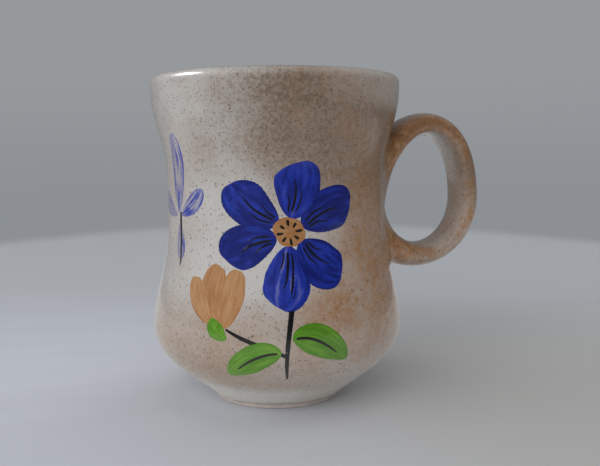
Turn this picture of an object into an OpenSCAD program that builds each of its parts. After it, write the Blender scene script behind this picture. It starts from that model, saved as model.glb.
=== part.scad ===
// Waisted stoneware mug with a strap handle, slip-joined and glazed.
// Millimetres, Z up, standing on Z = 0, the handle along +X.

/* [Cup] */
// Height of the clay cup from the table to the lip
cup_h = 100; // [94:0.5:112]
// Outer radius of the clay at the rim
rim_r = 38.4; // [36.5:0.1:43]
// Straight height of the rim under the rounding of the lip
rim_band = 1.4; // [0.5:0.1:4]
// Outer radius of the clay at the waist
waist_r = 33.8; // [30:0.1:35.5]
// Height where the waist begins, going up
waist_low_z = 54; // [46:0.5:60]
// Height where the waist ends and the rim begins to flare
waist_high_z = 70; // [64:0.5:76]
// Outer radius of the clay at the belly
belly_r = 38.9; // [36.5:0.1:43]
// Height of the belly's widest place
belly_z = 23; // [20:0.5:28]
// Length over which the belly stays upright below that place
belly_upright = 9; // [6:0.5:11]
// Thickness of the wall, measured level
wall_t = 4; // [3:0.1:5.5]
// Thickness of the floor over the hollow of the foot
floor_t = 5; // [4:0.1:7]
// Radius of the flat part of the floor inside
floor_flat_r = 13; // [9:0.5:16]
// Length over which the floor stays level outside that part
floor_level = 9; // [5:0.5:11]

/* [Foot] */
// Outer radius of the foot ring
foot_r = 20.3; // [17:0.1:23]
// Width of the foot ring
foot_w = 4; // [3:0.1:6]
// Height of the ring's outer wall
foot_h = 1.3; // [1:0.1:2.4]
// Depth of the hollow inside the ring
foot_hollow = 2; // [1.4:0.1:3]
// Rounding of the edges that the ring stands on
foot_edge = 0.6; // [0.3:0.1:0.7]
// Angle at which the underside of the belly leaves the ring
foot_slope = 42; // [34:1:48]
// Length over which the underside keeps that angle
foot_pull = 11; // [6:0.5:13]
// Length of bare clay between the ring and the glaze
bare_band = 1; // [0.6:0.1:3]

/* [Handle] */
// Distance from the waist to the middle of the strap at its outermost place
handle_out = 31.2; // [26:0.2:38]
// Height of that outermost place
handle_mid_z = 61.6; // [58:0.2:65]
// Thickness of the strap at its thinnest place
strap_t = 6.4; // [5:0.1:8]
// Breadth of the strap
strap_b = 14.4; // [11:0.1:18]
// Squareness of the strap's section, 2 for an ellipse
strap_square = 2.4; // [2:0.1:4]
// Height where the middle of the upper root leaves the wall
upper_root_z = 71.6; // [70:0.1:75]
// Angle at which the upper root climbs
upper_climb = 66; // [50:1:68]
// Length over which the upper root keeps that angle
upper_pull = 24.5; // [20:0.5:28]
// Length over which the outer bend stands upright, above its middle
upper_bend = 28; // [22:0.5:32]
// Height where the middle of the lower root leaves the wall
lower_root_z = 48.7; // [46:0.1:51]
// Angle at which the lower root drops
lower_drop = 45; // [30:1:50]
// Length over which the lower root keeps that angle
lower_pull = 18; // [12:0.5:22]
// Length over which the outer bend stands upright, below its middle
lower_bend = 16.6; // [10:0.2:20]
// Thickness of the strap where its upper end meets the wall
upper_root_t = 7.2; // [6.4:0.1:10]
// Thickness of the strap where its lower end meets the wall
lower_root_t = 9; // [7:0.1:11]
// Breadth of the strap where it meets the wall
root_b = 19; // [15:0.1:22]
// Distance from the wall over which the roots spread out
root_spread = 13; // [9:0.5:16]

/* [Slip and glaze] */
// Thickness of the slip that holds the handle to the wall
slip_t = 0.5; // [0.3:0.05:0.8]
// Width of the bead of slip that shows round each root
slip_bead = 0.8; // [0.4:0.1:1.4]
// Thickness of the glaze
glaze_t = 0.35; // [0.2:0.05:0.5]

/* [Detail] */
// Steps in each curved stretch of the wall
wall_steps = 11; // [8:1:16]
// Steps in each half of the handle
handle_steps = 18; // [12:1:24]
// Sides of the handle's section
handle_sides = 24; // [16:4:32]

/* [Hidden] */
$fn = 96;
fillet_steps = 4;
floor_z = foot_hollow + floor_t;
lip_r = wall_t / 2;
rim_z = cup_h - lip_r - rim_band;
lip_c = [rim_r - lip_r, cup_h - lip_r];
foot_in_r = foot_r - foot_w;
glaze_c = [0.80, 0.76, 0.70];
clay_c = [0.78, 0.70, 0.62];
root_clay_c = [0.60, 0.46, 0.36];

function unit(v) = v / norm(v);
function right_of(v) = [v[1], -v[0]];
function arc(c, r, a0, a1, n) =
    [for (i = [0:n]) c + r * [cos(a0 + (a1 - a0) * i / n), sin(a0 + (a1 - a0) * i / n)]];
function flat_points(p, from, to) = [for (i = [from:to]) p[i]];
function turned(p) = [for (i = [len(p) - 1:-1:0]) p[i]];

// Half a cosine wave from one radius to another between two heights
function swell(r0, r1, z0, z1, z) = r0 + (r1 - r0) * (1 - cos(180 * (z - z0) / (z1 - z0))) / 2;
function wall_r(z) =
    z < waist_low_z ? swell(belly_r, waist_r, belly_z, waist_low_z, z)
    : z < waist_high_z ? waist_r
    : z < rim_z ? swell(waist_r, rim_r, waist_high_z, rim_z, z)
    : rim_r;

function bezier(p, t) =
    pow(1 - t, 3) * p[0] + 3 * t * pow(1 - t, 2) * p[1] + 3 * t * t * (1 - t) * p[2] + pow(t, 3) * p[3];

// Under the belly, outside from the glaze line and inside from the flat of the floor
slope_dir = [cos(foot_slope), sin(foot_slope)];
foot_top = [foot_r, foot_h];
glaze_line = foot_top + bare_band * slope_dir;
outer_bowl = [
    glaze_line,
    glaze_line + foot_pull * slope_dir,
    [belly_r, belly_z - belly_upright],
    [belly_r, belly_z]];
inner_bowl = [
    [belly_r - wall_t, belly_z],
    [belly_r - wall_t, belly_z - belly_upright],
    [floor_flat_r + floor_level, floor_z],
    [floor_flat_r, floor_z]];

// Outline of the clay under the glaze line: hollow of the foot, then the ring
foot_path = concat(
    [[0, foot_hollow]],
    arc([foot_in_r - foot_edge, foot_hollow - foot_edge], foot_edge, 90, 0, fillet_steps),
    arc([foot_in_r + foot_edge, foot_edge], foot_edge, 180, 270, fillet_steps),
    arc([foot_r - foot_edge, foot_edge], foot_edge, 270, 360, fillet_steps),
    [foot_top]);

// Outline of the clay over the glaze line, outside: belly, waist, rim and lip
rise_z = [for (i = [1:wall_steps]) belly_z + (waist_low_z - belly_z) * i / wall_steps];
flare_z = [for (i = [0:wall_steps]) waist_high_z + (rim_z - waist_high_z) * i / wall_steps];
outer_z = concat(rise_z, flare_z);
outer_path = concat(
    [for (i = [0:wall_steps]) bezier(outer_bowl, i / wall_steps)],
    [for (z = outer_z) [wall_r(z), z]],
    arc(lip_c, lip_r, 0, 90, fillet_steps + 1));

// The same going down inside, from the lip to the middle of the floor
inner_path = concat(
    flat_points(arc(lip_c, lip_r, 90, 180, fillet_steps + 1), 1, fillet_steps + 1),
    [for (z = turned(outer_z)) [wall_r(z) - wall_t, z]],
    [for (i = [0:wall_steps]) bezier(inner_bowl, i / wall_steps)],
    [[0, floor_z]]);

skin = concat(outer_path, inner_path);
top_i = len(outer_path) - 1;
end_i = len(skin) - 1;
function skin_out(i) = right_of(unit(skin[min(i + 1, end_i)] - skin[max(i - 1, 0)]));
function coat(from, to, t) = [for (i = [from:to]) skin[i] + t * skin_out(i)];

// Middle line of the handle in the plane of its reach, from inside the wall and back
reach = waist_r + handle_out;
upper_dir = [cos(upper_climb), sin(upper_climb)];
lower_dir = [cos(lower_drop), -sin(lower_drop)];
upper_root = [wall_r(upper_root_z), upper_root_z];
lower_root = [wall_r(lower_root_z), lower_root_z];
upper_lead = (upper_root_t / 2 + glaze_t + slip_bead) * tan(upper_climb) + slip_bead;
lower_lead = (lower_root_t / 2 + glaze_t + slip_bead) * tan(lower_drop) + slip_bead;
upper_curve = [
    upper_root,
    upper_root + upper_pull * upper_dir,
    [reach, handle_mid_z + upper_bend],
    [reach, handle_mid_z]];
lower_curve = [
    [reach, handle_mid_z],
    [reach, handle_mid_z - lower_bend],
    lower_root + lower_pull * lower_dir,
    lower_root];
handle_path = concat(
    [upper_root - upper_lead * upper_dir],
    [for (i = [0:handle_steps]) bezier(upper_curve, i / handle_steps)],
    [for (i = [1:handle_steps]) bezier(lower_curve, i / handle_steps)],
    [lower_root - lower_lead * lower_dir]);
last_ring = len(handle_path) - 1;
mid_ring = handle_steps + 1;

// How far the strap has spread at a distance from the axis, from 0 to 1
function spread(x) = exp(-pow(max(0, x - waist_r) / root_spread, 2));
function round_power(v) = sign(v) * pow(abs(v), 2 / strap_square);
function ring(i, grow) =
    let (c = handle_path[i])
    let (n = -right_of(unit(handle_path[min(i + 1, last_ring)] - handle_path[max(i - 1, 0)])))
    let (s = spread(c[0]))
    let (root_t = i < mid_ring ? upper_root_t : lower_root_t)
    let (half_t = (strap_t + (root_t - strap_t) * s) / 2 + grow)
    let (half_b = (strap_b + (root_b - strap_b) * s) / 2 + grow)
    [for (k = [0:handle_sides - 1])
        let (a = 360 * k / handle_sides)
        let (p = c + half_t * round_power(sin(a)) * n)
        [p[0], half_b * round_power(cos(a)), p[1]]];

// Triangles between ring rows of a closed tube, the given number of rows
function tube_faces(rows, start) = [
    for (i = [0:rows - 2])
        for (k = [0:handle_sides - 1])
            let (a = start + i * handle_sides + k)
            let (b = start + i * handle_sides + (k + 1) % handle_sides)
            for (f = [[a, b + handle_sides, b], [a, a + handle_sides, b + handle_sides]]) f];
function flipped(faces) = [for (f = faces) [f[2], f[1], f[0]]];

// The strap between two rings of its middle line, grown all round
module strap(grow, from, to) {
    rows = to - from + 1;
    points = [for (i = [from:to]) each ring(i, grow)];
    first_end = [for (k = [0:handle_sides - 1]) k];
    last_end = [for (k = [handle_sides - 1:-1:0]) (rows - 1) * handle_sides + k];
    polyhedron(points, concat(tube_faces(rows, 0), [first_end, last_end]), convexity = 6);
}

// A sleeve round the whole strap, as thick as the glaze
module sleeve() {
    rows = last_ring + 1;
    count = rows * handle_sides;
    points = concat(
        [for (i = [0:last_ring]) each ring(i, glaze_t)],
        [for (i = [0:last_ring]) each ring(i, 0)]);
    ends = [for (row = [0, rows - 1])
        for (k = [0:handle_sides - 1])
            let (a = row * handle_sides + k)
            let (b = row * handle_sides + (k + 1) % handle_sides)
            for (f = [[a, b + count, a + count], [a, b, b + count]]) row == 0 ? f : [f[2], f[1], f[0]]];
    polyhedron(points, concat(tube_faces(rows, 0), flipped(tube_faces(rows, count)), ends), convexity = 8);
}

// Everything inside the wall's outer face, with the face moved out by some thickness
module wall_core(grow) {
    rotate_extrude()
        polygon(concat([[0, glaze_line[1]]], coat(0, top_i, grow), [[0, cup_h + grow]]));
}

// A layer of some thickness on the wall's outer face
module wall_layer(t) {
    rotate_extrude()
        polygon(concat(flat_points(skin, 0, top_i), turned(coat(0, top_i, t))));
}

module slip_joint(from, to) {
    intersection() {
        wall_layer(slip_t);
        strap(glaze_t + slip_bead, from, to);
    }
}

module cup_body() {
    color(clay_c)
        rotate_extrude()
            polygon(concat(foot_path, outer_path, inner_path));
}

module handle() {
    color(clay_c)
        difference() {
            strap(0, 0, last_ring);
            wall_core(slip_t);
        }
}

module upper_slip_joint() {
    color(root_clay_c)
        slip_joint(0, mid_ring);
}

module lower_slip_joint() {
    color(root_clay_c)
        slip_joint(mid_ring, last_ring);
}

module liner_glaze() {
    color(glaze_c)
        rotate_extrude()
            polygon(concat(flat_points(skin, top_i, end_i), turned(coat(top_i, end_i, glaze_t))));
}

module outer_glaze() {
    color(glaze_c)
        difference() {
            wall_layer(glaze_t);
            strap(glaze_t + slip_bead, 0, mid_ring);
            strap(glaze_t + slip_bead, mid_ring, last_ring);
        }
}

module handle_glaze() {
    color(glaze_c)
        difference() {
            sleeve();
            wall_core(slip_t);
        }
}

cup_body();
handle();
upper_slip_joint();
lower_slip_joint();
liner_glaze();
outer_glaze();
handle_glaze();
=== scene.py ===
import math

import bpy
import numpy as np
from mathutils import Matrix, Vector


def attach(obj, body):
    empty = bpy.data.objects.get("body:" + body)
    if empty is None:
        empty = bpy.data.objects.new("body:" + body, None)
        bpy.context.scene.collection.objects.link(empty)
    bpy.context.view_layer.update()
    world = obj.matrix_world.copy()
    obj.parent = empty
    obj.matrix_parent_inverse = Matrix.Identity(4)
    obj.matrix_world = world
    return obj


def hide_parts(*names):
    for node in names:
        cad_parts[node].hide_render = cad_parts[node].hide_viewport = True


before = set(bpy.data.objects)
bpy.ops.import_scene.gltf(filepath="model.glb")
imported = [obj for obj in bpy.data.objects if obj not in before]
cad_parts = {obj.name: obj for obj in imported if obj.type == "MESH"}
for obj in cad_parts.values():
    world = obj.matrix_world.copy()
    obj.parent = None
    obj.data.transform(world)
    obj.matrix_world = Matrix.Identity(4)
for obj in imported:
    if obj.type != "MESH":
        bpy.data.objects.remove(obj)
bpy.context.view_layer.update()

# The cup: stoneware clay, turned in one piece with its wall, rounded lip, floor and foot ring.
# The ring and a narrow band above it are left bare, so that the mug doesn't stick to the kiln shelf,
# and everything else lies under the glaze.
cup_height = 0.100
rim_radius = 0.0384
waist_radius = 0.0338
waist_low = 0.054
waist_high = 0.070
belly_radius = 0.0389
belly_height = 0.023
belly_upright = 0.009
wall_thickness = 0.004
lip_radius = wall_thickness / 2
lip_shoulder = 0.0014
rim_height = cup_height - lip_radius - lip_shoulder
lip_centre = np.array([rim_radius - lip_radius, cup_height - lip_radius])
floor_height = 0.007
floor_flat = 0.013
floor_level = 0.009
foot_radius = 0.0203
foot_width = 0.004
foot_height = 0.0013
foot_hollow = 0.002
foot_edge = 0.0006
foot_slope = math.radians(42)
foot_pull = 0.011
ring_in = foot_radius - foot_width
ring_top = np.array([foot_radius, foot_height])
outward_slope = np.array([math.cos(foot_slope), math.sin(foot_slope)])
bare_band = 0.001
glaze_line = ring_top + bare_band * outward_slope
pole = 0.0002
edge_points = 8
ring_points = 4
bowl_points = 30
wall_points = 60
clay_lip_points = 24
cup_columns = 160
bare_clay = (0.325, 0.285, 0.265, 1)
worn_clay = (0.385, 0.34, 0.315, 1)
clay_grit = (0.20, 0.13, 0.10, 1)


def half_wave(r0, r1, z0, z1, z):
    """Value that goes from r0 to r1 on half a cosine wave while z goes from z0 to z1."""
    part = np.clip((z - z0) / (z1 - z0), 0, 1)
    return r0 + (r1 - r0) * (1 - np.cos(np.pi * part)) / 2


def wall_radius(z):
    """Outer radius of the clay above the belly: one half wave in to the waist, one out to the rim."""
    lower = half_wave(belly_radius, waist_radius, belly_height, waist_low, z)
    upper = half_wave(waist_radius, rim_radius, waist_high, rim_height, z)
    return np.where(z < waist_low, lower, upper)


def cubic(points, t):
    """Bezier curve of four points: the powers of t and 1 - t weigh them."""
    t = np.asarray(t)[..., None]
    p0, p1, p2, p3 = (np.asarray(p) for p in points)
    return (1 - t) ** 3 * p0 + 3 * t * (1 - t) ** 2 * p1 + 3 * t * t * (1 - t) * p2 + t ** 3 * p3


def arc(centre, radius, a0, a1, count):
    """Points of a circle between two angles in degrees."""
    a = np.radians(np.linspace(a0, a1, count))
    return np.asarray(centre) + radius * np.stack([np.cos(a), np.sin(a)], axis=-1)


def outer_bowl(count):
    """Outside of the cup below the belly: a Bezier curve that leaves the glaze line along the slope of
    the foot and comes to the belly upright."""
    pulled = glaze_line + foot_pull * outward_slope
    return cubic(
        [glaze_line, pulled, [belly_radius, belly_height - belly_upright], [belly_radius, belly_height]],
        np.linspace(0, 1, count))


def inner_bowl(count):
    """Inside of the cup below the belly: a Bezier curve that leaves the floor level and comes to the
    belly upright, one wall's thickness in."""
    inside = belly_radius - wall_thickness
    return cubic(
        [[floor_flat, floor_height], [floor_flat + floor_level, floor_height],
         [inside, belly_height - belly_upright], [inside, belly_height]],
        np.linspace(0, 1, count))


def upright(offset, count):
    """The wall from the belly to the rim, at wall_radius less an offset, equally spaced in height."""
    z = np.linspace(belly_height, rim_height, count)
    return np.stack([wall_radius(z) - offset, z], axis=-1)


def turned(r, z, columns):
    """Points of a turned surface: each radius and height carried round the axis in equal steps."""
    a = np.linspace(0, 2 * np.pi, columns, endpoint=False)
    r, z = np.broadcast_arrays(r, z)
    x, y = r * np.cos(a), r * np.sin(a)
    return np.stack([x, y, np.broadcast_to(z, x.shape)], axis=-1)


def skin_object(name, grids, capped, uv=None, marks=None):
    """Mesh over grids of points that are closed along their columns. Rows are closed too, or capped
    at both ends. Faces are turned so that the volume they enclose is positive. uv and marks are
    values for each point, kept as a UV map and as attributes."""
    grids = np.asarray(grids, dtype=float)
    count, rows, columns, _ = grids.shape
    index = np.arange(count * rows * columns).reshape(count, rows, columns)
    near = index[:, :-1] if capped else index
    far = index[:, 1:] if capped else np.roll(index, -1, axis=1)
    quads = np.stack([near, np.roll(near, -1, 2), np.roll(far, -1, 2), far], axis=-1).reshape(-1, 4)
    points = grids.reshape(-1, 3)
    a, b, c, d = (points[quads[:, i]] for i in range(4))
    volume = np.sum(a * (np.cross(b, c) + np.cross(c, d)))
    ends = np.concatenate([index[:, 0, ::-1], index[:, -1]]) if capped else index[:0, 0]
    p = points[ends]
    volume += np.sum(p[:, :1] * np.cross(p[:, 1:-1], p[:, 2:]))
    if volume < 0:
        quads, ends = quads[:, ::-1], ends[:, ::-1]
    faces = quads.tolist() + ends.tolist()
    mesh = bpy.data.meshes.new(name)
    mesh.from_pydata(points.tolist(), [], faces)
    mesh.polygons.foreach_set("use_smooth", np.ones(len(mesh.polygons), dtype=bool))
    if uv is not None:
        corner = np.empty(len(mesh.loops), dtype=np.int32)
        mesh.loops.foreach_get("vertex_index", corner)
        layer = mesh.uv_layers.new(name="along_and_across")
        layer.data.foreach_set("uv", np.asarray(uv, dtype=np.float32).reshape(-1, 2)[corner].ravel())
    for mark, values in (marks or {}).items():
        kept = mesh.attributes.new(mark, "FLOAT", "POINT")
        kept.data.foreach_set("value", np.asarray(values, dtype=np.float32).ravel())
    mesh.update()
    made = bpy.data.objects.new(name, mesh)
    bpy.context.scene.collection.objects.link(made)
    return made


def add_node(tree, kind, inputs=None, **settings):
    """A shader node with its settings, and each input linked to a socket or set to a constant."""
    made = tree.nodes.new(kind)
    for key, value in settings.items():
        setattr(made, key, value)
    for key, value in (inputs or {}).items():
        if isinstance(value, bpy.types.NodeSocket):
            tree.links.new(value, made.inputs[key])
        else:
            made.inputs[key].default_value = value
    return made


def own_place(tree):
    """A point's own coordinates in metres, which every piece of the mug shares."""
    return add_node(tree, "ShaderNodeTexCoord").outputs["Object"]


def unevenness(tree, place, scale, detail, roughness=0.5):
    """Cloudy value from 0 to 1 over a place, finer with the scale and rougher with the detail."""
    made = add_node(
        tree, "ShaderNodeTexNoise",
        {"Vector": place, "Scale": scale, "Detail": detail, "Roughness": roughness})
    return made.outputs[0]


def blend_colours(tree, share, first, second):
    """Colour between two others, by a share from 0 to 1."""
    made = add_node(tree, "ShaderNodeMix", {0: share, 6: first, 7: second}, data_type="RGBA")
    return made.outputs[2]


def reckon(tree, operation, first, second=0.0, third=0.0, clamp=False):
    """One sum of up to three values."""
    made = add_node(
        tree, "ShaderNodeMath", {0: first, 1: second, 2: third}, operation=operation, use_clamp=clamp)
    return made.outputs[0]


def ramp(tree, value, low, high, start=0.0, end=1.0):
    """Goes smoothly from start to end while a value goes from low to high."""
    made = add_node(
        tree, "ShaderNodeMapRange", {0: value, 1: low, 2: high, 3: start, 4: end},
        interpolation_type="SMOOTHSTEP")
    return made.outputs[0]


def new_material(name):
    """An empty node material with its Principled shader wired to the output."""
    made = bpy.data.materials.new(name)
    made.use_nodes = True
    made.node_tree.nodes.clear()
    shader = add_node(made.node_tree, "ShaderNodeBsdfPrincipled")
    add_node(made.node_tree, "ShaderNodeOutputMaterial", {0: shader.outputs[0]})
    return made, made.node_tree, shader


under_foot = np.concatenate([
    np.linspace([pole, foot_hollow], [ring_in - 2 * foot_edge, foot_hollow], edge_points),
    arc([ring_in - foot_edge, foot_hollow - foot_edge], foot_edge, 90, 0, edge_points),
    arc([ring_in + foot_edge, foot_edge], foot_edge, 180, 270, edge_points),
    np.linspace([ring_in + 2 * foot_edge, 0], [foot_radius - 2 * foot_edge, 0], ring_points),
    arc([foot_radius - foot_edge, foot_edge], foot_edge, 270, 360, edge_points)])
clay_outline = np.concatenate([
    under_foot,
    np.linspace(ring_top, glaze_line, edge_points),
    outer_bowl(bowl_points)[1:],
    upright(0, wall_points)[1:],
    arc(lip_centre, lip_radius, 0, 180, clay_lip_points),
    upright(wall_thickness, wall_points)[::-1],
    inner_bowl(bowl_points)[-2::-1],
    np.linspace([floor_flat, floor_height], [pole, floor_height], edge_points)[1:]])
cup = skin_object(
    "cup_clay", turned(clay_outline[:, :1], clay_outline[:, 1:], cup_columns)[None], capped=True)

clay, tree, shader = new_material("bare_stoneware")
place = own_place(tree)
tone = unevenness(tree, place, scale=220.0, detail=4.0)
grit = add_node(tree, "ShaderNodeTexVoronoi", {"Vector": place, "Scale": 1300.0})
grain = ramp(tree, grit.outputs["Distance"], 0.34, 0.16)
worn = blend_colours(tree, ramp(tree, tone, 0.35, 0.7), bare_clay, worn_clay)
gritty = blend_colours(tree, reckon(tree, "MULTIPLY", grain, 0.4), worn, clay_grit)
tree.links.new(gritty, shader.inputs["Base Color"])
rough = add_node(tree, "ShaderNodeBump", {"Height": tone, "Strength": 0.35, "Distance": 0.0002})
tree.links.new(rough.outputs[0], shader.inputs["Normal"])
shader.inputs["Roughness"].default_value = 0.82
cup.data.materials.append(clay)
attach(cup, "root")
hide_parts("cup_body")

# The outer glaze: cream stoneware glaze with iron specks, sprayed thicker and redder round the handle
# and thinner on the far side. It is a glassy coat a third of a millimetre thick that ends in a soft
# roll above the bare band, and runs over the lip into the glaze of the inside.
glaze_thickness = 0.0003
glaze_roll = 0.0008
glaze_sunk = 0.00003
lip_overlap = 24
lip_dive = 0.00015
band_points = 40
fine_bowl_points = 400
fine_wall_points = 700
lip_points = 160
roll_rows = 12
roll_share = 0.012
outer_rows = 190
under_rows = 60
glaze_columns = 224
cream = (0.39, 0.382, 0.372, 1)
clean_cream = (0.48, 0.47, 0.445, 1)
sprayed_cream = (0.310, 0.160, 0.068, 1)
burnt_cream = (0.220, 0.098, 0.038, 1)
iron_haze = (0.137, 0.100, 0.072, 1)
rust_speck = (0.150, 0.056, 0.028, 1)
brown_speck = (0.058, 0.040, 0.030, 1)
iron_speck = (0.036, 0.028, 0.026, 1)


def run_length(line):
    """Distance of each point of a line from its start."""
    step = np.diff(line, axis=0)
    return np.concatenate([[0], np.cumsum(np.hypot(step[:, 0], step[:, 1]))])


def along(line, distance):
    """Points and outward normals of a line at distances from its start, by interpolation."""
    length = run_length(line)
    tangent = np.gradient(line, length, axis=0)
    tangent /= np.hypot(tangent[:, 0], tangent[:, 1])[:, None]
    r, z = (np.interp(distance, length, line[:, i]) for i in (0, 1))
    out_r = np.interp(distance, length, tangent[:, 1])
    out_z = -np.interp(distance, length, tangent[:, 0])
    return r, z, out_r, out_z


def past_crown(distance, length):
    """Share of the way from the crown of the lip to the end of a coat of that length."""
    crown = length - lip_radius * math.radians(lip_overlap)
    return np.clip((distance - crown) / (length - crown), 0, 1)


def coat(line, distance, depth, under_distance, under_depth):
    """Points of a coat on a turned line. Each is the line's point at a distance, moved by a depth along
    the normal and carried round the axis, out over the clay first and then back underneath."""
    sides = []
    for reached, lift in ((distance, depth), (under_distance, under_depth)):
        r, z, out_r, out_z = along(line, reached)
        sides.append(turned(r + lift * out_r, z + lift * out_z, glaze_columns))
    return np.concatenate(sides)[None]


outer_line = np.concatenate([
    np.linspace(ring_top, glaze_line, band_points)[:-1],
    outer_bowl(fine_bowl_points),
    upright(0, fine_wall_points)[1:],
    arc(lip_centre, lip_radius, 0, 90 + lip_overlap, lip_points)])
outer_length = run_length(outer_line)[-1]
turn = np.linspace(0, 2 * np.pi, glaze_columns, endpoint=False)
waver = sum(size * np.sin(waves * turn + phase) for size, waves, phase in (
    (0.0003, 3, 0.7), (0.0002, 7, 2.1), (0.0001, 13, 0.0)))
start = bare_band + waver
in_roll = np.linspace(0, 1, roll_rows)[:-1] ** 2 * roll_share
share = np.concatenate([in_roll, np.linspace(roll_share, 1, outer_rows)])[:, None]
distance = start + (outer_length - start) * share
under_distance = start + (outer_length - start) * np.linspace(1, 0, under_rows)[:, None]
roll = np.clip((distance - start) / glaze_roll, 0, 1)
depth = glaze_thickness * np.sqrt(1 - (1 - roll) ** 2) - lip_dive * past_crown(distance, outer_length) ** 2
outer_glaze = skin_object(
    "outer_glaze_coat", coat(outer_line, distance, depth, under_distance, -glaze_sunk), capped=False)


def new_group(name, sockets):
    """A shader node group with its named inputs and outputs."""
    made = bpy.data.node_groups.new(name, "ShaderNodeTree")
    for label, way, kind in sockets:
        made.interface.new_socket(label, in_out=way, socket_type="NodeSocket" + kind)
    return made, made.nodes.new("NodeGroupInput"), made.nodes.new("NodeGroupOutput")


def use_group(tree, group, inputs=None):
    """A node in a material that runs a shared group."""
    return add_node(tree, "ShaderNodeGroup", inputs, node_tree=group)


def measure(tree, operation, first, second):
    """One number from two vectors, such as the distance between them."""
    made = add_node(tree, "ShaderNodeVectorMath", {0: first, 1: second}, operation=operation)
    return made.outputs["Value"]


# Where the specks lie thick, where the iron turns the glaze red, and where it stays a clean cream
upper_root_place = (0.0345, 0, 0.072)
lower_root_place = (0.0345, 0, 0.049)
root_near = 0.006
root_far = 0.019
spray_place, _, given = new_group("spray_by_place", [
    ("Spray", "OUTPUT", "Float"), ("Rust", "OUTPUT", "Float"), ("Clean", "OUTPUT", "Float")])
tree = spray_place
place = own_place(tree)
axes = add_node(tree, "ShaderNodeSeparateXYZ", {0: place}).outputs
height = axes[2]
drift = unevenness(tree, place, scale=48.0, detail=3.0)
sway = unevenness(tree, place, scale=26.0, detail=2.0)
toward_handle = reckon(tree, "ADD", axes[0], ramp(tree, sway, 0.3, 0.7, -0.008, 0.008))
upper_half = ramp(tree, height, 0.052, 0.082)
over_belly = ramp(tree, height, 0.010, 0.036, 0.25, 1.0)
lower_belly = reckon(
    tree, "MULTIPLY", ramp(tree, height, 0.005, 0.011), ramp(tree, height, 0.022, 0.043, 1.0, 0.0))
far_belly = reckon(tree, "MULTIPLY", lower_belly, ramp(tree, toward_handle, 0.020, -0.006))
near_lip = reckon(
    tree, "MULTIPLY", ramp(tree, height, 0.082, 0.096), ramp(tree, axes[0], -0.012, 0.028))
roots = reckon(tree, "MAXIMUM", *(
    ramp(tree, measure(tree, "DISTANCE", place, root), root_far, root_near)
    for root in (upper_root_place, lower_root_place)))
handle_side = reckon(
    tree, "ADD", toward_handle, reckon(tree, "MULTIPLY_ADD", upper_half, 0.011, -0.004))
rust = reckon(tree, "MULTIPLY", over_belly, ramp(tree, handle_side, -0.018, 0.020, 0.0, 0.94))
rust = reckon(tree, "ADD", rust, reckon(tree, "MULTIPLY", far_belly, 0.42))
rust = reckon(tree, "ADD", rust, reckon(tree, "MULTIPLY", roots, 0.30))
rust = reckon(tree, "ADD", rust, ramp(tree, drift, 0.3, 0.7, -0.13, 0.09))
rust = reckon(tree, "MULTIPLY", rust, ramp(tree, near_lip, 0.0, 1.0, 1.0, 0.35))
rust = reckon(tree, "MAXIMUM", rust, 0.0)
leaning = reckon(tree, "ADD", toward_handle, reckon(tree, "MULTIPLY_ADD", height, 0.40, -0.0312))
spray = reckon(tree, "MULTIPLY", upper_half, ramp(tree, leaning, -0.030, -0.002, 0.08, 0.98))
spray = reckon(tree, "MULTIPLY", spray, ramp(tree, axes[1], -0.012, 0.020, 1.0, 0.4))
spray = reckon(tree, "ADD", spray, reckon(tree, "MULTIPLY", far_belly, 0.28))
near_handle = reckon(tree, "MULTIPLY", ramp(tree, toward_handle, 0.0, 0.024, 0.08, 0.26), over_belly)
spray = reckon(tree, "ADD", spray, near_handle)
spray = reckon(tree, "MULTIPLY", spray, ramp(tree, near_lip, 0.0, 1.0, 1.0, 0.15))
spray = reckon(tree, "MULTIPLY", spray, ramp(tree, roots, 0.0, 1.0, 1.0, 0.35))
spray = reckon(tree, "ADD", spray, ramp(tree, drift, 0.3, 0.7, -0.11, 0.08), clamp=True)
clean = reckon(
    tree, "MAXIMUM",
    ramp(tree, height, 0.0970, 0.0995, 0.0, 0.42), ramp(tree, height, 0.0105, 0.0055, 0.0, 0.6))
for label, value in (("Spray", spray), ("Rust", rust), ("Clean", clean)):
    tree.links.new(value, given.inputs[label])

# The glaze itself: cream that turns red with the iron, and specks of four sizes
speck_core = 0.3
speckled, taken, given = new_group("speckled_glaze", [
    ("Spray", "INPUT", "Float"), ("Rust", "INPUT", "Float"), ("Clean", "INPUT", "Float"),
    ("Color", "OUTPUT", "Color"), ("Gloss", "OUTPUT", "Float"), ("Height", "OUTPUT", "Float")])
tree = speckled
place = own_place(tree)
spray, rust, clean = (taken.outputs[label] for label in ("Spray", "Rust", "Clean"))
kept_share = reckon(tree, "SUBTRACT", 1.0, clean)
cloud = unevenness(tree, place, scale=150.0, detail=4.0)
blotch = unevenness(tree, place, scale=480.0, detail=3.0)
mottle = unevenness(tree, place, scale=950.0, detail=3.0, roughness=0.65)
ripple = unevenness(tree, place, scale=170.0, detail=2.0)
tint = reckon(tree, "MULTIPLY", rust, ramp(tree, cloud, 0.28, 0.72, 0.84, 1.10))
tint = reckon(tree, "MULTIPLY", tint, ramp(tree, blotch, 0.3, 0.7, 0.80, 1.22))
colour = blend_colours(tree, clean, cream, clean_cream)
colour = blend_colours(tree, reckon(tree, "MULTIPLY", tint, kept_share), colour, sprayed_cream)
colour = blend_colours(tree, ramp(tree, tint, 0.92, 1.5), colour, burnt_cream)
dust = reckon(tree, "MULTIPLY", reckon(tree, "ADD", spray, 0.12), kept_share)
dust = reckon(tree, "MULTIPLY", dust, ramp(tree, mottle, 0.30, 0.70, 0.62, 1.0))
dust = reckon(tree, "MULTIPLY", dust, ramp(tree, rust, 0.60, 1.10, 1.0, 0.55))
colour = blend_colours(tree, dust, colour, iron_haze)
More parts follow.
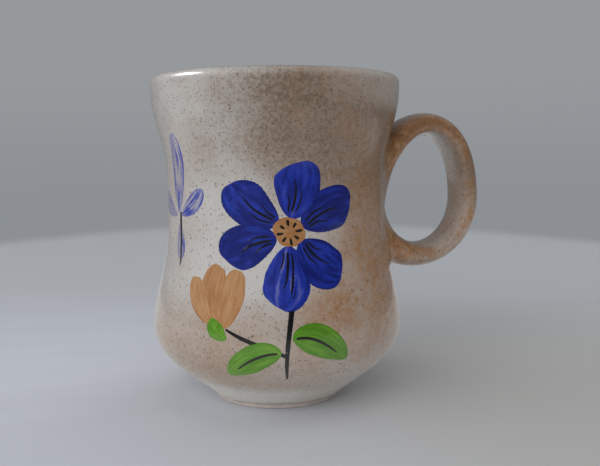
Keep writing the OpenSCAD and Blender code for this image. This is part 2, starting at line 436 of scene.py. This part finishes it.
for scale, wide, least, most, strength, speck in (
        (1700.0, 0.56, 0.14, 0.42, 0.52, rust_speck),
        (1250.0, 0.52, 0.12, 0.34, 0.54, brown_speck),
        (640.0, 0.32, 0.08, 0.26, 0.70, brown_speck),
        (300.0, 0.14, 0.04, 0.09, 0.75, iron_speck)):
    cells = add_node(tree, "ShaderNodeTexVoronoi", {"Vector": place, "Scale": scale})
    chance = add_node(tree, "ShaderNodeSeparateColor", {0: cells.outputs["Color"]}).outputs[0]
    there = reckon(tree, "LESS_THAN", chance, ramp(tree, spray, 0.0, 1.0, least, most))
    spot = ramp(tree, cells.outputs["Distance"], wide, wide * speck_core, 0.0, strength)
    spot = reckon(tree, "MULTIPLY", reckon(tree, "MULTIPLY", spot, there), kept_share)
    colour = blend_colours(tree, spot, colour, speck)
gloss = ramp(tree, mottle, 0.3, 0.7, 0.26, 0.38)
for label, value in (("Color", colour), ("Gloss", gloss), ("Height", ripple)):
    tree.links.new(value, given.inputs[label])


def glazed_material(name):
    """Speckled glaze whose spray follows the place on the mug, under a glassy coat."""
    made, tree, shader = new_material(name)
    where = use_group(tree, spray_place)
    look = use_group(tree, speckled, {label: where.outputs[label] for label in ("Spray", "Rust", "Clean")})
    tree.links.new(look.outputs["Color"], shader.inputs["Base Color"])
    tree.links.new(look.outputs["Gloss"], shader.inputs["Roughness"])
    bump = add_node(
        tree, "ShaderNodeBump", {"Height": look.outputs["Height"], "Strength": 0.12, "Distance": 0.0004})
    tree.links.new(bump.outputs[0], shader.inputs["Normal"])
    shader.inputs["Specular IOR Level"].default_value = 0.3
    shader.inputs["Coat Weight"].default_value = 0.6
    shader.inputs["Coat Roughness"].default_value = 0.05
    return made, tree, shader, where, look


outer_glaze.data.materials.append(glazed_material("cream_speckled_glaze")[0])
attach(outer_glaze, "root")
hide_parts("outer_glaze")

# The liner glaze: the same cream glaze poured into the cup and swilled round, so it carries few specks.
# It covers the inside from the floor to the lip, where it meets the outer coat.
floor_points = 60
liner_rows = 200
inner_line = np.concatenate([
    np.linspace([pole, floor_height], [floor_flat, floor_height], floor_points)[:-1],
    inner_bowl(fine_bowl_points),
    upright(wall_thickness, fine_wall_points)[1:],
    arc(lip_centre, lip_radius, 180, 90 - lip_overlap, lip_points)])
inner_length = run_length(inner_line)[-1]
distance = inner_length * np.linspace(0, 1, liner_rows)[:, None]
under_distance = inner_length * np.linspace(1, 0, under_rows)[:, None]
depth = lip_dive * past_crown(distance, inner_length) ** 2 - glaze_thickness
liner = skin_object(
    "liner_glaze_coat", coat(inner_line, distance, depth, under_distance, glaze_sunk), capped=True)

liner_finish, tree, shader, where, look = glazed_material("cream_liner_glaze")
height_in_cup = add_node(tree, "ShaderNodeSeparateXYZ", {0: own_place(tree)}).outputs[2]
thinned = ramp(tree, height_in_cup, 0.086, 0.099, 0.2, 1.0)
for label in ("Spray", "Rust"):
    tree.links.new(reckon(tree, "MULTIPLY", where.outputs[label], thinned), look.inputs[label])
clean_inside = ramp(tree, height_in_cup, 0.097, 0.084, 0.0, 0.9)
tree.links.new(reckon(tree, "MAXIMUM", where.outputs["Clean"], clean_inside), look.inputs["Clean"])
liner.data.materials.append(liner_finish)
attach(liner, "root")
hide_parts("liner_glaze")

# The handle: a broad strap of clay, pulled by hand, bent into an ear and glazed with the cup.
# It thickens towards both roots, and the iron shows through the thin glaze along its edges.
handle_out = 0.0312
handle_middle = 0.0616
strap_thickness = 0.0064
strap_breadth = 0.0144
strap_square = 2.4
upper_root_height = 0.0716
upper_climb = math.radians(66)
upper_pull = 0.0245
upper_bend = 0.028
lower_root_height = 0.0487
lower_drop = math.radians(45)
lower_pull = 0.018
lower_bend = 0.0166
upper_root_thickness = 0.0072
lower_root_thickness = 0.009
root_breadth = 0.019
root_spread = 0.013
upper_ends = 0.8
lower_starts = 1.2
reach = waist_radius + handle_out
upper_root = np.array([float(wall_radius(upper_root_height)), upper_root_height])
lower_root = np.array([float(wall_radius(lower_root_height)), lower_root_height])
upper_way = np.array([math.cos(upper_climb), math.sin(upper_climb)])
lower_way = np.array([math.cos(lower_drop), -math.sin(lower_drop)])
upper_curve = [upper_root, upper_root + upper_pull * upper_way,
               [reach, handle_middle + upper_bend], [reach, handle_middle]]
lower_curve = [[reach, handle_middle], [reach, handle_middle - lower_bend],
               lower_root + lower_pull * lower_way, lower_root]
strap_columns = 128
strap_rows = 161
corner_crowding = 0.28
in_wall = -0.0012
upper_search = (-0.35, 0.6)
lower_search = (2.45, 1.4)
halvings = 40


def strap_middle(u):
    """Middle line of the strap: from 0 to 1 the upper Bezier, from 1 to 2 the lower one, and beyond
    them straight on into the wall."""
    upper = cubic(upper_curve, np.clip(u, 0, 1))
    lower = cubic(lower_curve, np.clip(u - 1, 0, 1))
    middle = np.where((u < 1)[..., None], upper, lower)
    into_upper = np.minimum(u, 0)[..., None] * 3 * upper_pull * upper_way
    into_lower = np.maximum(u - 2, 0)[..., None] * -3 * lower_pull * lower_way
    return middle + into_upper + into_lower


def strap_point(u, v, grow):
    """Surface of the strap: a squared oval of |x|^s + |y|^s = 1 round the middle line, v its angle,
    thicker and broader by a bell curve of the distance from the wall, and grown all round."""
    u, v, grow = np.broadcast_arrays(u, v, grow)
    nudge = 1e-4
    middle = strap_middle(u)
    ahead = strap_middle(u + nudge) - strap_middle(u - nudge)
    ahead /= np.hypot(ahead[..., 0], ahead[..., 1])[..., None]
    spread = np.exp(-(np.maximum(0, middle[..., 0] - waist_radius) / root_spread) ** 2)
    root_thickness = half_wave(upper_root_thickness, lower_root_thickness, upper_ends, lower_starts, u)
    half_t = (strap_thickness + (root_thickness - strap_thickness) * spread) / 2 + grow
    half_b = (strap_breadth + (root_breadth - strap_breadth) * spread) / 2 + grow
    power = 2 / strap_square
    across = half_t * np.sign(np.sin(v)) * np.abs(np.sin(v)) ** power
    side = half_b * np.sign(np.cos(v)) * np.abs(np.cos(v)) ** power
    out = middle[..., 0] - across * ahead[..., 1]
    up = middle[..., 1] + across * ahead[..., 0]
    return np.stack([out, side, up], axis=-1)


def over_wall(point):
    """Height of a point over the glaze of the wall, measured level."""
    return np.hypot(point[..., 0], point[..., 1]) - wall_radius(point[..., 2]) - glaze_thickness


def where_strap_meets(v, search, height):
    """Parameter u at which the strap's line v stands at a height over the glaze, by halving a search
    that goes from inside the wall to outside it."""
    low, high = (np.full_like(v, limit) for limit in search)
    for _ in range(halvings):
        middle = (low + high) / 2
        above = over_wall(strap_point(middle, v, glaze_thickness)) > height
        low, high = np.where(above, low, middle), np.where(above, middle, high)
    return (low + high) / 2


even_turn = np.linspace(0, 2 * np.pi, strap_columns, endpoint=False)
strap_turn = even_turn + corner_crowding * np.sin(4 * even_turn) / 4
first_u = where_strap_meets(strap_turn, upper_search, in_wall)
last_u = where_strap_meets(strap_turn, lower_search, in_wall)
strap_run = first_u + (last_u - first_u) * np.linspace(0, 1, strap_rows)[:, None]

# Shares of the glaze's rust and specks that the strap's faces, edges and ends keep, with a painted
# highlight as a pale line along the inner corners
narrow_edge = np.abs(np.cos(strap_turn)) ** np.where(np.sin(strap_turn) < 0, 5.0, 2.0)
inner_face = np.clip(-np.sin(strap_turn), 0, 1)
outer_face = np.clip(np.sin(strap_turn), 0, 1)
inner_corner_rust_and_highlight = np.exp(-((np.abs(strap_turn - 1.5 * np.pi) - 0.25 * np.pi) / 0.32) ** 2)
upper_part = half_wave(1, 0, 0.5, 0.95, strap_run)
lower_part = half_wave(0, 1, 1.1, 1.4, strap_run)
lower_end = half_wave(0, 1, 1.5, 1.9, strap_run)
near_root = np.exp(-(np.maximum(0, strap_middle(strap_run)[..., 0] - waist_radius) / 0.008) ** 2)
rusted = 0.80 + narrow_edge * (0.05 + 1.1 * upper_part - 0.15 * lower_part * (1 - lower_end))
rusted = rusted - inner_face * (0.28 + 0.72 * upper_part) - 0.45 * outer_face * lower_part
# Along the inner corners the rust is cut in the middle of the strap, a pale line that is a painted
# highlight; near the lower end it is raised, as real rust
rusted = rusted + inner_corner_rust_and_highlight * (0.9 * lower_end - 0.25 * (1 - lower_end) * (1 - upper_part))
rusted = rusted + (0.95 - rusted) * near_root
dusted = 0.72 + 0.6 * lower_part - 0.45 * inner_face * upper_part + 0.4 * narrow_edge * (1 - upper_part)
dusted = dusted * (1 - 0.7 * near_root * upper_part)
strap = skin_object(
    "strap_handle", strap_point(strap_run, strap_turn, glaze_thickness)[None], capped=True,
    marks={"rusted": rusted, "dusted": dusted})

strap_finish, tree, shader, where, look = glazed_material("strap_glaze")
breaks = unevenness(tree, own_place(tree), scale=330.0, detail=4.0, roughness=0.65)
broken = ramp(tree, breaks, 0.34, 0.66, 0.76, 1.28)
for label, mark, patchy in (("Rust", "rusted", broken), ("Spray", "dusted", 1.0)):
    kept_mark = add_node(tree, "ShaderNodeAttribute", attribute_name=mark).outputs["Fac"]
    there = reckon(tree, "MULTIPLY", where.outputs[label], kept_mark)
    tree.links.new(reckon(tree, "MULTIPLY", there, patchy), look.inputs[label])
strap.data.materials.append(strap_finish)
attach(strap, "root")
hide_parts("handle", "handle_glaze")

# The joints: slip, which is liquid clay, brushed between the scored wall and the ends of the strap.
# What squeezed out was smoothed round each root with a wet finger into a small hollow fillet, narrow
# over the strap and full under it.
fullness = 1 - ((1 + np.sin(strap_turn)) / 2) ** 2
upper_fillet = 0.0022 + 0.0085 * fullness
lower_fillet = 0.0060 + 0.0042 * fullness
fillet_rows = 22
tail_rows = 5
tail_reach = 0.4
tail_sunk = 0.0001
edge_sunk = 0.00025
core_back = 0.3
core_sunk = 0.0006
strap_sunk = 0.0005


def to_wall(point):
    """Angle round the axis, height, and height over the glaze of a point."""
    return np.stack([np.arctan2(point[..., 1], point[..., 0]), point[..., 2], over_wall(point)], axis=-1)


def from_wall(place):
    """The point at an angle round the axis, a height, and a height over the glaze."""
    angle, z, lift = (place[..., i] for i in range(3))
    radius = wall_radius(z) + glaze_thickness + lift
    return np.stack([radius * np.cos(angle), radius * np.sin(angle), z], axis=-1)


def fillet_ring(meets, size, way):
    """A closed ring of triangular section round a root. Its outer side is a quadratic Bezier from the
    strap, towards the corner that strap and wall make, to the wall, measured over the curved wall.
    Thin tails run on from both its edges, and its core lies inside the strap and the wall."""
    corner = strap_point(meets, strap_turn, glaze_thickness)
    step = 1e-3 * way
    stepped = strap_point(meets + step, strap_turn, glaze_thickness)
    speed = np.linalg.norm(stepped - corner, axis=-1) / abs(step)
    reach_u = way * size / speed
    on_strap = strap_point(meets + reach_u, strap_turn, glaze_thickness)
    flat = to_wall(corner)
    flat[:, 2] = 0
    run = np.stack([flat[:, 0] * waist_radius, flat[:, 1]], axis=-1)
    tangent = np.roll(run, -1, axis=0) - np.roll(run, 1, axis=0)
    away = np.stack([tangent[:, 1], -tangent[:, 0]], axis=-1)
    away /= np.linalg.norm(away, axis=-1)[:, None]
    away *= np.sign(np.sum(away * (run - run.mean(axis=0))))
    shift = np.stack([away[:, 0] / waist_radius, away[:, 1], np.zeros(len(away))], axis=-1) * size[:, None]
    on_wall = flat + shift
    w = np.linspace(0, 1, fillet_rows)[:, None, None]
    hollow = (1 - w) ** 2 * to_wall(on_strap) + 2 * w * (1 - w) * flat + w ** 2 * on_wall
    tail = np.linspace(0, 1, tail_rows)[1:, None]
    under_strap = strap_point(
        meets + reach_u * (1 + tail_reach * tail), strap_turn, glaze_thickness - tail_sunk * tail ** 2)
    past = tail[..., None]
    under_wall = on_wall + tail_reach * past * shift - np.array([0, 0, tail_sunk]) * past ** 2
    deep = np.stack([
        from_wall(on_wall - np.array([0, 0, edge_sunk])),
        strap_point(meets - core_back * reach_u, strap_turn, glaze_thickness - core_sunk),
        strap_point(meets + reach_u, strap_turn, glaze_thickness - strap_sunk)])
    return np.concatenate([under_strap[::-1], from_wall(hollow), from_wall(under_wall), deep])[None]


upper_meets = where_strap_meets(strap_turn, upper_search, 0.0)
lower_meets = where_strap_meets(strap_turn, lower_search, 0.0)
upper_joint = skin_object("upper_joint", fillet_ring(upper_meets, upper_fillet, 1), capped=False)
lower_joint = skin_object("lower_joint", fillet_ring(lower_meets, lower_fillet, -1), capped=False)
joint_finish = glazed_material("joint_glaze")[0]
for joint, node in ((upper_joint, "upper_slip_joint"), (lower_joint, "lower_slip_joint")):
    joint.data.materials.append(joint_finish)
    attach(joint, "root")
    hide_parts(node)

# The painting: underglaze colour laid on with a round brush, each stroke in one pull, so it is thin in
# the middle and pools along its edges. It is a common flower spray, with a smaller one on the far side.
# Its lines are drawn in millimetres on the unrolled wall, from the middle of the side that is seen.
camera_turn = math.radians(-13.3)
front = camera_turn - math.pi / 2
millimetre = 0.001
paint_height = 0.000012
paint_layer = 0.000006
paint_edge_sunk = 0.00002
paint_sunk = 0.00006
stroke_rows = 49
stroke_columns = 21
stroke_tip = 0.0005
stroke_phase = 2.4
edge_phase = 1.9
edge_waver = ((0.035, 5, 1), (0.02, 11, 1.7))
side_fall = 12
tip_fall = 60
petal_pulls = (0.35, 0.75)
cobalt = (0.002, 0.007, 0.105, 1)
cobalt_wash = (0.007, 0.023, 0.25, 1)
ochre = (0.245, 0.108, 0.036, 1)
ochre_wash = (0.31, 0.165, 0.072, 1)
leaf_green = (0.050, 0.155, 0.005, 1)
leaf_wash = (0.095, 0.23, 0.014, 1)
black = (0.003, 0.003, 0.004, 1)
black_wash = (0.016, 0.016, 0.019, 1)
wall_line = outer_line[:-lip_points]
wall_length = run_length(wall_line)


def ray(angle):
    """Unit direction on the wall at an angle in degrees, 0 to the right and 90 up."""
    return np.stack([np.cos(np.radians(angle)), np.sin(np.radians(angle))], axis=-1)


def petal_lines(centre, angles, inner, outer, bend):
    """Middle lines of petals: Bezier curves from an inner to an outer radius round a centre, whose
    pulling points stand at two shares of the way and are turned by a bend."""
    angles, outer, bend = (np.asarray(x, dtype=float) for x in (angles, outer, bend))
    span = (outer - inner)[:, None]
    pulled = [centre + (inner + share * span) * ray(angles + bend) for share in petal_pulls]
    return np.stack([centre + inner * ray(angles), *pulled, centre + outer[:, None] * ray(angles)], axis=1)


def brush_strokes(name, lines, widths, ends, washes, layers):
    """Thin closed pads on the glaze. A pad follows a Bezier line over the unrolled wall in millimetres,
    and its half width is u^p (1 - u)^q, scaled to the width and wavering a little along each edge. Its
    top is lifted by its layer and sinks into the glaze all round."""
    lines = np.asarray(lines, dtype=float)
    count = len(lines)
    widths, washes, layers = (np.asarray(x, dtype=float)[:, None, None] for x in (widths, washes, layers))
    p, q = (np.asarray(ends, dtype=float)[:, i, None, None] for i in (0, 1))
    u = ((1 - np.cos(np.linspace(0, np.pi, stroke_rows))) / 2)[None, :, None]
    u = stroke_tip + (1 - 2 * stroke_tip) * u
    v = np.sin(np.linspace(-np.pi / 2, np.pi / 2, stroke_columns))[None, None, :]
    t = u[..., None]
    p0, p1, p2, p3 = (lines[:, i, None, None, :] for i in range(4))
    ahead = (1 - t) ** 2 * (p1 - p0) + 2 * t * (1 - t) * (p2 - p1) + t * t * (p3 - p2)
    ahead /= np.linalg.norm(ahead, axis=-1, keepdims=True)
    tallest = (p / (p + q)) ** p * (q / (p + q)) ** q
    half = widths / 2 * u ** p * (1 - u) ** q / tallest
    phase = np.arange(count)[:, None, None] * stroke_phase + np.where(v < 0, 0.0, edge_phase)
    half = half * (1 + sum(size * np.sin(waves * u + turns * phase) for size, waves, turns in edge_waver))
    off = (half * v)[..., None] * np.stack([-ahead[..., 1], ahead[..., 0]], axis=-1)
    flat = (cubic([p0, p1, p2, p3], u) + off) * millimetre
    rim = np.maximum(np.abs(v) ** side_fall, np.abs(2 * u - 1) ** tip_fall)
    top = paint_height + paint_layer * layers
    lift = top - (top + paint_edge_sunk) * rim

    def on_wall(lift):
        """Points of the unrolled wall, wrapped round the mug at a lift over the glaze."""
        reached = np.interp(flat[..., 1], wall_line[:, 1], wall_length)
        r, z, out_r, out_z = along(wall_line, reached)
        radius = r + (glaze_thickness + lift) * out_r
        angle = front + flat[..., 0] / r
        z = z + (glaze_thickness + lift) * out_z
        return np.stack([radius * np.cos(angle), radius * np.sin(angle), z], axis=-1)

    underside = on_wall(np.full_like(lift, -paint_sunk))[:, :, ::-1]
    grids = np.concatenate([on_wall(lift), underside], axis=2)
    all_u, all_v, strength = np.broadcast_arrays(u, v, washes)
    uv = np.stack([np.arange(count)[:, None, None] + all_u, (all_v + 1) / 2], axis=-1)
    uv = np.concatenate([uv, uv[:, :, ::-1]], axis=2)
    strength = np.concatenate([strength, strength], axis=2)
    return skin_object(name, grids, capped=True, uv=uv, marks={"wash": strength})


# The paint itself: streaks along the stroke and pooled edges, with the specks of the glaze showing through
brush_paint, taken, given = new_group("brush_paint", [
    ("Place", "INPUT", "Vector"), ("Wash", "INPUT", "Float"), ("Glaze", "INPUT", "Color"),
    ("Paint", "INPUT", "Color"), ("Thin", "INPUT", "Color"), ("Color", "OUTPUT", "Color")])
tree = brush_paint
place = taken.outputs["Place"]
streak_place = add_node(tree, "ShaderNodeMapping", {"Vector": place, "Scale": (2.3, 7.0, 1.0)})
streak = unevenness(tree, streak_place.outputs[0], scale=1.0, detail=4.0)
across = add_node(tree, "ShaderNodeSeparateXYZ", {0: place}).outputs[1]
off_middle = reckon(tree, "ABSOLUTE", reckon(tree, "MULTIPLY_ADD", across, 2.0, -1.0))
pooled = ramp(tree, off_middle, 0.72, 0.97, 0.0, 0.22)
body = reckon(tree, "ADD", taken.outputs["Wash"], ramp(tree, streak, 0.3, 0.7, -0.22, 0.22))
share = reckon(tree, "ADD", body, pooled, clamp=True)
ink = blend_colours(tree, ramp(tree, share, 0.45, 0.95), taken.outputs["Thin"], taken.outputs["Paint"])
inked = blend_colours(tree, ramp(tree, share, 0.0, 0.5, 0.1, 0.995), taken.outputs["Glaze"], ink)
tree.links.new(inked, given.inputs["Color"])


def painted(piece, colour, thin_colour):
    """Gives strokes their paint over the glaze: the UV map is the place along and across a stroke, and
    the wash attribute says how much colour the brush held."""
    made, tree, shader, _, look = glazed_material(piece.name + "_colour")
    paint = use_group(tree, brush_paint, {
        "Place": add_node(tree, "ShaderNodeUVMap", uv_map="along_and_across").outputs[0],
        "Wash": add_node(tree, "ShaderNodeAttribute", attribute_name="wash").outputs["Fac"],
        "Glaze": look.outputs["Color"], "Paint": colour, "Thin": thin_colour})
    tree.links.new(paint.outputs["Color"], shader.inputs["Base Color"])
    piece.data.materials.append(made)
    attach(piece, "root")


# Flowers in cobalt: the bloom, a small bloom on the far side, and a pale sprig on the left
painted_radius = 34.5
far_side = np.array([math.pi * painted_radius, 0])
bloom = np.array([3.5, 55.0])
small_bloom = far_side + [2, 60.0]
side_sprig = np.array([-33.5, 58.0])
petal_turns = np.array([22, 83, 141, 203, 262, 321])
petals = np.concatenate([
    petal_lines(bloom, petal_turns, 3.8, [20.5, 19.5, 21.5, 20, 21, 20], [8, -6, 7, -8, 6, -7]),
    petal_lines(small_bloom, [12, 84, 156, 228, 300], 2.6, [11.5] * 5, [8] * 5),
    petal_lines(side_sprig, [96, 148, 40, -88], 1.5, [25, 15, 14, 12], [-7, 10, -10, 4])])
petal_widths = [13.5, 14, 13, 13.5, 14, 13] + [7.2] * 5 + [7.5, 5.5, 5.5, 4.5]
petal_ends = [(0.62, 0.42)] * 11 + [(0.75, 0.55)] * 4
petal_washes = [0.82, 0.62, 0.76, 0.86, 0.56, 0.72, 0.76, 0.62, 0.8, 0.66, 0.74, 0.22, 0.19, 0.27, 0.22]
petal_layers = [0, 1, 0, 1, 0, 1] + [0, 1, 0, 1, 2] + [0, 1, 2, 3]
painted(
    brush_strokes("painted_petals", petals, petal_widths, petal_ends, petal_washes, petal_layers),
    cobalt, cobalt_wash)

# Strokes one by one: the middle line, the width, the powers of the two ends, the wash and the layer
heart = np.array([[-4.4, 0], [-2, 1], [2, -0.6], [4.4, 0]])
small_heart = np.array([[-2.6, 0], [-1, 0.4], [1, -0.4], [2.6, 0]])
bud_strokes = (
    (bloom + heart, 8.6, (0.5, 0.5), 0.8, 3),
    ([[-17.5, 29], [-19.5, 34], [-19.5, 40], [-16.5, 45.5]], 8.4, (0.6, 0.4), 0.72, 0),
    ([[-15.3, 28.5], [-14, 33], [-12.7, 39], [-10.8, 44.5]], 7.4, (0.6, 0.4), 0.62, 1),
    ([[-19, 29.5], [-23, 33], [-25, 37], [-24.5, 42]], 6.8, (0.6, 0.4), 0.58, 2),
    (small_bloom + small_heart, 5, (0.5, 0.5), 0.8, 3))
painted(brush_strokes("painted_bud", *zip(*bud_strokes)), ochre, ochre_wash)

leaf_strokes = (
    ([[4, 26], [9, 27], [15, 25], [20, 19]], 9.5, (0.6, 0.6), 0.78, 1),
    ([[1, 22], [-4, 22.5], [-10, 20], [-14, 15]], 8.5, (0.6, 0.6), 0.7, 2),
    ([[-18, 31], [-19, 29], [-17.5, 27], [-14.5, 25.5]], 5.5, (0.5, 0.7), 0.74, 3),
    (far_side + [[2, 38], [6, 39], [11, 38], [15, 33]], 6.5, (0.6, 0.6), 0.74, 1),
    (far_side + [[1, 34], [-4, 35], [-9, 33], [-12, 28]], 6, (0.6, 0.6), 0.7, 2))
painted(brush_strokes("painted_leaves", *zip(*leaf_strokes)), leaf_green, leaf_wash)

stem_strokes = (
    ([[3.5, 52], [6.5, 38], [1.5, 26], [2.5, 13.5]], 1.7, (0.16, 0.3), 0.95, -0.5),
    ([[2.4, 21], [-3, 24], [-9, 25], [-15, 28.5]], 1.4, (0.16, 0.3), 0.9, -1),
    ([[5, 26], [9.5, 26.8], [13, 24.5], [17, 21.2]], 0.9, (0.16, 0.3), 0.85, 5),
    ([[0, 22], [-4, 22], [-8, 20.3], [-11.5, 17]], 0.9, (0.16, 0.3), 0.85, 4),
    (far_side + [[2, 58], [3.5, 46], [0, 38], [1, 26]], 1.3, (0.16, 0.3), 0.92, -1),
    ([[-32.5, 60], [-33, 56], [-32, 50], [-33, 44]], 1.2, (0.16, 0.3), 0.8, 5))
painted(brush_strokes("painted_stems", *zip(*stem_strokes)), black, black_wash)

# Three veins on each petal of the bloom, and the stamens round its heart
vein_turns = np.concatenate([petal_turns - 9, petal_turns + 1, petal_turns + 11])
vein_tips = [11.5, 12.5, 11, 12, 11.5, 12.5, 16, 15, 16.5, 15, 16, 15, 12, 11, 12.5, 11.5, 12, 11]
veins = np.concatenate([
    petal_lines(bloom, vein_turns, 5.6, vein_tips, np.tile([7, -5, 6, -7, 5, -6], 3)),
    petal_lines(bloom, np.arange(8) * 45 + 9.0, 1.6, [3.6, 3.2] * 4, [0.0] * 8)])
vein_widths = [0.55] * 6 + [0.8] * 6 + [0.55] * 6 + [0.9] * 8
vein_ends = [(0.25, 0.6)] * 18 + [(0.4, 0.2)] * 8
painted(
    brush_strokes("painted_veins", veins, vein_widths, vein_ends, [0.9] * 26, [5] * 18 + [6] * 8),
    black, black_wash)

# The stage: a pale painted table top whose far side fades softly into the grey of the room. The camera
# sees it in its own grey, painted lighter on the left and darker on the right as painted light and shade,
# and the mug gets the light that a white table sends back. In the glaze's reflections the table is a
# painted reflection, dark in front of the mug and pale near it and behind it.
table_half_width = 1.3
table_front = 1.4
table_back = 0.8
table_drop = 0.00002
painted_lit_left_grey = (0.52, 0.54, 0.595, 1)
painted_shade_right_grey = (0.41, 0.41, 0.405, 1)
far_grey = (0.42, 0.44, 0.47, 1)
brushed_grey = (0.40, 0.41, 0.42, 1)
painted_reflection_dark = (0.06, 0.06, 0.063, 1)
painted_reflection_pale = (0.70, 0.70, 0.70, 1)
bounced_white = (0.74, 0.74, 0.74, 1)
to_right = np.array([math.cos(camera_turn), math.sin(camera_turn), 0])
to_camera = np.array([math.sin(camera_turn), -math.cos(camera_turn), 0])
up = np.array([0, 0, 1.0])
corner_right = np.array([-1, 1, 1, -1])[:, None] * table_half_width
corner_back = np.array([-table_front, -table_front, table_back, table_back])[:, None]
table_points = corner_right * to_right - corner_back * to_camera - table_drop * up
table_mesh = bpy.data.meshes.new("table_top")
table_mesh.from_pydata(table_points.tolist(), [], [[0, 1, 2, 3]])
table = bpy.data.objects.new("table_top", table_mesh)
bpy.context.scene.collection.objects.link(table)

table_paint, tree, shader = new_material("pale_table_paint")
place = own_place(tree)
drawn = add_node(tree, "ShaderNodeMapping", {"Vector": place, "Scale": (9.0, 60.0, 9.0)})
brushed = unevenness(tree, drawn.outputs[0], scale=1.0, detail=3.0)
sideways = measure(tree, "DOT_PRODUCT", place, tuple(to_right))
backward = measure(tree, "DOT_PRODUCT", place, tuple(-to_camera))
# Painted light and shade: the grey the camera sees is lighter to the left of the mug and darker to the
# right
seen = blend_colours(tree, ramp(tree, sideways, -0.07, 0.08), painted_lit_left_grey, painted_shade_right_grey)
seen = blend_colours(tree, ramp(tree, backward, 0.0, 0.22), seen, far_grey)
seen = blend_colours(tree, ramp(tree, brushed, 0.35, 0.65, 0.0, 0.12), seen, brushed_grey)
# Painted reflection: what the glaze mirrors of the table is dark in front of the mug and pale nearer it
mirrored = blend_colours(tree, ramp(tree, backward, -0.40, -0.15), painted_reflection_dark, painted_reflection_pale)
ray_kind = add_node(tree, "ShaderNodeLightPath")
sent_back = blend_colours(tree, ray_kind.outputs["Is Glossy Ray"], bounced_white, mirrored)
shown = blend_colours(tree, ray_kind.outputs["Is Camera Ray"], sent_back, seen)
tree.links.new(shown, shader.inputs["Base Color"])
curved = reckon(tree, "MULTIPLY", reckon(tree, "POWER", sideways, 2.0), 2.7)
edge_place = reckon(tree, "ADD", backward, curved)
tree.links.new(ramp(tree, edge_place, 0.51, 0.62, 1.0, 0.0), shader.inputs["Alpha"])
shader.inputs["Roughness"].default_value = 0.6
shader.inputs["Specular IOR Level"].default_value = 0.0
table_mesh.materials.append(table_paint)

# Light: a wide soft lamp in front and to the left, three weaker ones over, beside and behind the mug,
# a bright window whose reflection shows on the lip, and the even light of a pale room.
mug_middle = np.array([0, 0, cup_height / 2])
low_wall = (0.262, 0.278, 0.295, 1)
high_wall = (0.303, 0.319, 0.334, 1)
dark_front = (0.03, 0.031, 0.033, 1)
pale_back = (0.18, 0.188, 0.198, 1)
room_light = (0.33, 0.335, 0.342, 1)


def lamp_facing(name, way, distance, size, watts):
    """A rectangular lamp that faces the mug from a direction to the right, to the camera and up."""
    way = way[0] * to_right + way[1] * to_camera + way[2] * up
    way /= np.linalg.norm(way)
    lamp = bpy.data.lights.new(name, "AREA")
    lamp.shape = "RECTANGLE"
    lamp.size, lamp.size_y = size
    lamp.energy = watts
    stand = bpy.data.objects.new(name, lamp)
    bpy.context.scene.collection.objects.link(stand)
    stand.location = Vector(mug_middle + distance * way)
    stand.rotation_euler = Vector(way).to_track_quat("Z", "Y").to_euler()
    return stand


for name, way, distance, size, watts in (
        ("wide_lamp", (-0.42, 0.80, 0.38), 1.9, (2.2, 1.6), 34.5),
        ("ceiling_lamp", (0.1, 0.0, 1.0), 1.8, (1.6, 1.6), 3.8),
        ("side_lamp", (-0.95, 0.05, 0.40), 1.9, (1.6, 1.4), 11.0),
        ("back_lamp", (0.70, -0.65, 0.42), 1.9, (1.8, 1.4), 10.5)):
    lamp_facing(name, way, distance, size, watts).visible_glossy = False
lamp_facing("far_window", (-0.8385, -0.029, 0.545), 1.1, (0.45, 0.27), 12.0).visible_diffuse = False

room = bpy.data.worlds.new("pale_room")
bpy.context.scene.world = room
room.use_nodes = True
tree = room.node_tree
tree.nodes.clear()
ray_kind = add_node(tree, "ShaderNodeLightPath").outputs
looking = add_node(tree, "ShaderNodeTexCoord").outputs["Generated"]
upward = add_node(tree, "ShaderNodeSeparateXYZ", {0: looking}).outputs[2]
from_lens = measure(tree, "DOT_PRODUCT", looking, tuple(-to_camera))
wall_colour = blend_colours(tree, ramp(tree, upward, -0.08, 0.12), low_wall, high_wall)
mirror_colour = blend_colours(tree, ramp(tree, from_lens, -0.4, 0.3), dark_front, pale_back)
mirrored = reckon(tree, "MAXIMUM", ray_kind["Is Glossy Ray"], ray_kind["Is Transmission Ray"])
room_colour = blend_colours(tree, mirrored, room_light, mirror_colour)
room_colour = blend_colours(tree, ray_kind["Is Camera Ray"], room_colour, wall_colour)
sky = add_node(tree, "ShaderNodeBackground", {"Color": room_colour, "Strength": 1.0})
add_node(tree, "ShaderNodeOutputWorld", {0: sky.outputs[0]})

# Camera: level with the mug's shoulder and a quarter of a metre away, a little to the left of its face.
# It looks slightly down and leans by half a degree, and the mug's axis stands left of the middle.
picture_width = 600
axis_column = 276.6
focal_pixels = 771.4
film_width = 36.0
away = 0.2462
eye_height = 0.0777
look_down = math.radians(6.15)
look_right = math.atan2(picture_width / 2 - axis_column, focal_pixels)
tilt = math.radians(0.45)
heading = -to_camera * math.cos(look_right) + to_right * math.sin(look_right)
level_right = np.cross(heading, up)
ahead = heading * math.cos(look_down) - math.sin(look_down) * up
above = np.cross(level_right, ahead)
right_side = level_right * math.cos(tilt) - above * math.sin(tilt)
top_side = above * math.cos(tilt) + level_right * math.sin(tilt)
lens = bpy.data.cameras.new("eye")
lens.sensor_fit = "HORIZONTAL"
lens.sensor_width = film_width
lens.lens = film_width * focal_pixels / picture_width
lens.clip_start = 0.01
eye = bpy.data.objects.new("eye", lens)
bpy.context.scene.collection.objects.link(eye)
pose = np.eye(4)
pose[:3, :3] = np.stack([right_side, top_side, -ahead], axis=1)
pose[:3, 3] = to_camera * away + eye_height * up
eye.matrix_world = Matrix(pose.tolist())
bpy.context.scene.camera = eye
bpy.context.scene.view_settings.view_transform = "Standard"
